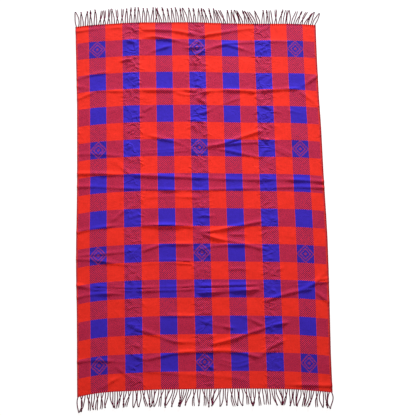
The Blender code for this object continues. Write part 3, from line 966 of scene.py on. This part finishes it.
def make_fringe(name, node, row, outward, strands, seed):
    """Make one end's fringe: the woven heading, its strands and their knots."""
    outer = row - outward * (HEADING_GAP + HEADING_DEPTH) / ROW_PITCH
    bpy.ops.object.select_all(action="DESELECT")
    span = (outer, row) if outward > 0 else (row, outer)
    heading, columns, rows = grid_sheet(name, HEADING_FACES, (0, COLUMNS), span)
    x, y = cloth_place(columns, np.full(len(columns), row))
    y = y - (rows - row) * ROW_PITCH
    points = np.stack([x + shift_x, y + shift_y, np.zeros(len(x))], axis=1)
    shape_sheet(heading, points, columns, rows)
    heading.data.materials.append(weave)

    lines, rises, knots = pair_lines(row, outward, strands, seed)
    all_points, all_faces, twists = [], [], []
    count = 0
    for line, height in zip(lines, stacked_heights(lines, rises)):
        length = np.linalg.norm(np.diff(line, axis=0), axis=1).sum()
        all_points.append(bent_strand(line, height))
        all_faces.extend(tuple(corner + count for corner in face) for face in strand_faces)
        around = np.arctan2(strand_points[:, 1], strand_points[:, 0]) / (2 * math.pi)
        twists.append(np.stack([around, strand_points[:, 2] * length], axis=1))
        count += len(strand_points)
    for knot in knots:
        place = knot[int(len(knot) * KNOT_PLACE)]
        lump = knot_points * KNOT_SIZE + (*place, KNOT_SIZE[2])
        all_points.append(lump)
        all_faces.extend(tuple(corner + count for corner in face) for face in knot_faces)
        twists.append(np.zeros((len(knot_points), 2)))
        count += len(knot_points)
    strands_mesh = bpy.data.meshes.new(name + "_strands")
    strands_mesh.from_pydata(np.concatenate(all_points).tolist(), [], all_faces)
    strands_mesh.materials.append(yarn)
    twist = strands_mesh.uv_layers.new(name="check")
    corners = np.empty(len(strands_mesh.loops), dtype=int)
    strands_mesh.loops.foreach_get("vertex_index", corners)
    twist.data.foreach_set("uv", np.concatenate(twists)[corners].ravel())
    strands_mesh.shade_smooth()
    strand_piece = bpy.data.objects.new(name + "_strands", strands_mesh)
    bpy.context.collection.objects.link(strand_piece)
    bpy.ops.object.select_all(action="DESELECT")
    strand_piece.select_set(True)
    heading.select_set(True)
    bpy.context.view_layer.objects.active = heading
    bpy.ops.object.join()
    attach(heading, "root")
    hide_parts(node)
    return heading


# Two-ply acrylic yarn: a red and a blue ply twisted hard, matt and slightly hairy. Seen
# together the plies read as maroon, with painted shade darkening the twist between them.
# The darker colour is painted shade in the groove between the plies; the lighter is the yarn's own
# maroon.
PLY_GROOVE_SHADE = linear("28061E")
PLY_LIGHT = linear("86163C")
TWIST_PITCH = 0.009
HAIR_SCALE = 1200.0
TWIST_DEPTH = 0.0006

yarn = bpy.data.materials.new("two_ply_acrylic_yarn")
yarn.use_nodes = True
tree = yarn.node_tree
twist_place = add_node(tree, "ShaderNodeUVMap", uv_map="check")
around = add_node(tree, "ShaderNodeSeparateXYZ", [(0, twist_place)])
run = around.node.outputs[1]
turns = add_node(tree, MATH, [(0, run), (1, 1 / TWIST_PITCH)], operation="MULTIPLY")
helix = add_node(tree, MATH, [(0, around), (1, turns)], operation="ADD")
helix_turn = add_node(tree, MATH, [(0, helix), (1, 0.5)], operation="PINGPONG")
ply_share = add_node(tree, MATH, [(0, helix_turn), (1, 2.0)], operation="MULTIPLY")
# Along the twist the colour ramps from the yarn's maroon to the painted groove shade.
ply_color_and_shade = add_node(
    tree, "ShaderNodeMix", [("Factor", ply_share), (6, PLY_GROOVE_SHADE), (7, PLY_LIGHT)], data_type="RGBA"
).node.outputs[2]
coordinates = add_node(tree, "ShaderNodeTexCoord").node.outputs["Object"]
hairs = add_node(
    tree, "ShaderNodeTexNoise",
    [("Vector", coordinates), ("Scale", HAIR_SCALE), ("Detail", 2.0)],
)
surface = tree.nodes["Principled BSDF"]
tree.links.new(ply_color_and_shade, surface.inputs["Base Color"])
ply_height = add_node(tree, MATH, [(0, ply_share), (1, hairs)], operation="ADD")
raised = add_node(
    tree, "ShaderNodeBump",
    [("Height", ply_height), ("Strength", 0.6), ("Distance", TWIST_DEPTH)],
)
tree.links.new(raised, surface.inputs["Normal"])
surface.inputs["Roughness"].default_value = 0.95
surface.inputs["Specular IOR Level"].default_value = 0.1
surface.inputs["Sheen Weight"].default_value = 0.02

fringe_head = make_fringe("head_fringe", "fringe_head", 0.0, 1, HEAD_STRANDS, HEAD_SEED)
fringe_foot = make_fringe("foot_fringe", "fringe_foot", ROWS, -1, FOOT_STRANDS, FOOT_SEED)

# Floor and light
# The blanket lies on a plain white floor. A soft cool light comes from past the head end, so
# each crease is bright on its head side, and the foot end is a little darker. A small warm
# panel over the middle and a faint warm one past the foot fill the shade.
FLOOR_SIZE = 14.0
FLOOR_GREY = linear("7C7C7C")
FLOOR_GLOW = 0.9
LIGHTS = (
    # name, place, turn in degrees, size, power, colour
    ("light_from_head", (1.55, 7.2, 2.25), (-73, 0, -12), 1.4, 1200, (0.74, 0.97, 1.0)),
    ("light_panel", (0.0, 0.5, 2.2), (0, 0, 0), 0.5, 19, (1.0, 0.8, 0.75)),
    ("light_from_foot", (0.0, -1.7, 2.2), (0, 0, 0), 0.8, 9, (1.0, 0.65, 0.6)),
)
WALL_GREY = linear("E6E6E6")
ROOM_LIGHT = 0.12

bpy.ops.object.select_all(action="DESELECT")
bpy.ops.mesh.primitive_plane_add(size=FLOOR_SIZE)
floor = bpy.context.object
floor.name = "floor"
paint = bpy.data.materials.new("white_floor_paint")
paint.use_nodes = True
surface = paint.node_tree.nodes["Principled BSDF"]
surface.inputs["Base Color"].default_value = FLOOR_GREY
surface.inputs["Roughness"].default_value = 0.9
surface.inputs["Specular IOR Level"].default_value = 0.1
surface.inputs["Emission Color"].default_value = (1, 1, 1, 1)
surface.inputs["Emission Strength"].default_value = FLOOR_GLOW
floor.data.materials.append(paint)

for name, place, turn, size, power, color in LIGHTS:
    bpy.ops.object.light_add(
        type="AREA", location=place, rotation=[math.radians(angle) for angle in turn]
    )
    light = bpy.context.object
    light.name = name
    light.data.size = size
    light.data.energy = power
    light.data.color = color

# The room's own light is dim, and past the floor's edge a pale wall shows.
world = bpy.data.worlds.new("soft_room")
world.use_nodes = True
tree = world.node_tree
room_light = tree.nodes["Background"]
room_light.inputs["Color"].default_value = (1, 1, 1, 1)
room_light.inputs["Strength"].default_value = ROOM_LIGHT
pale_wall = add_node(tree, "ShaderNodeBackground", [("Color", WALL_GREY), ("Strength", 1.0)])
seen = add_node(tree, "ShaderNodeLightPath")
room = add_node(
    tree, "ShaderNodeMixShader", [(0, seen), (1, room_light.outputs[0]), (2, pale_wall)]
)
tree.links.new(room, tree.nodes["World Output"].inputs["Surface"])
bpy.context.scene.world = world
bpy.context.scene.view_settings.view_transform = "Standard"
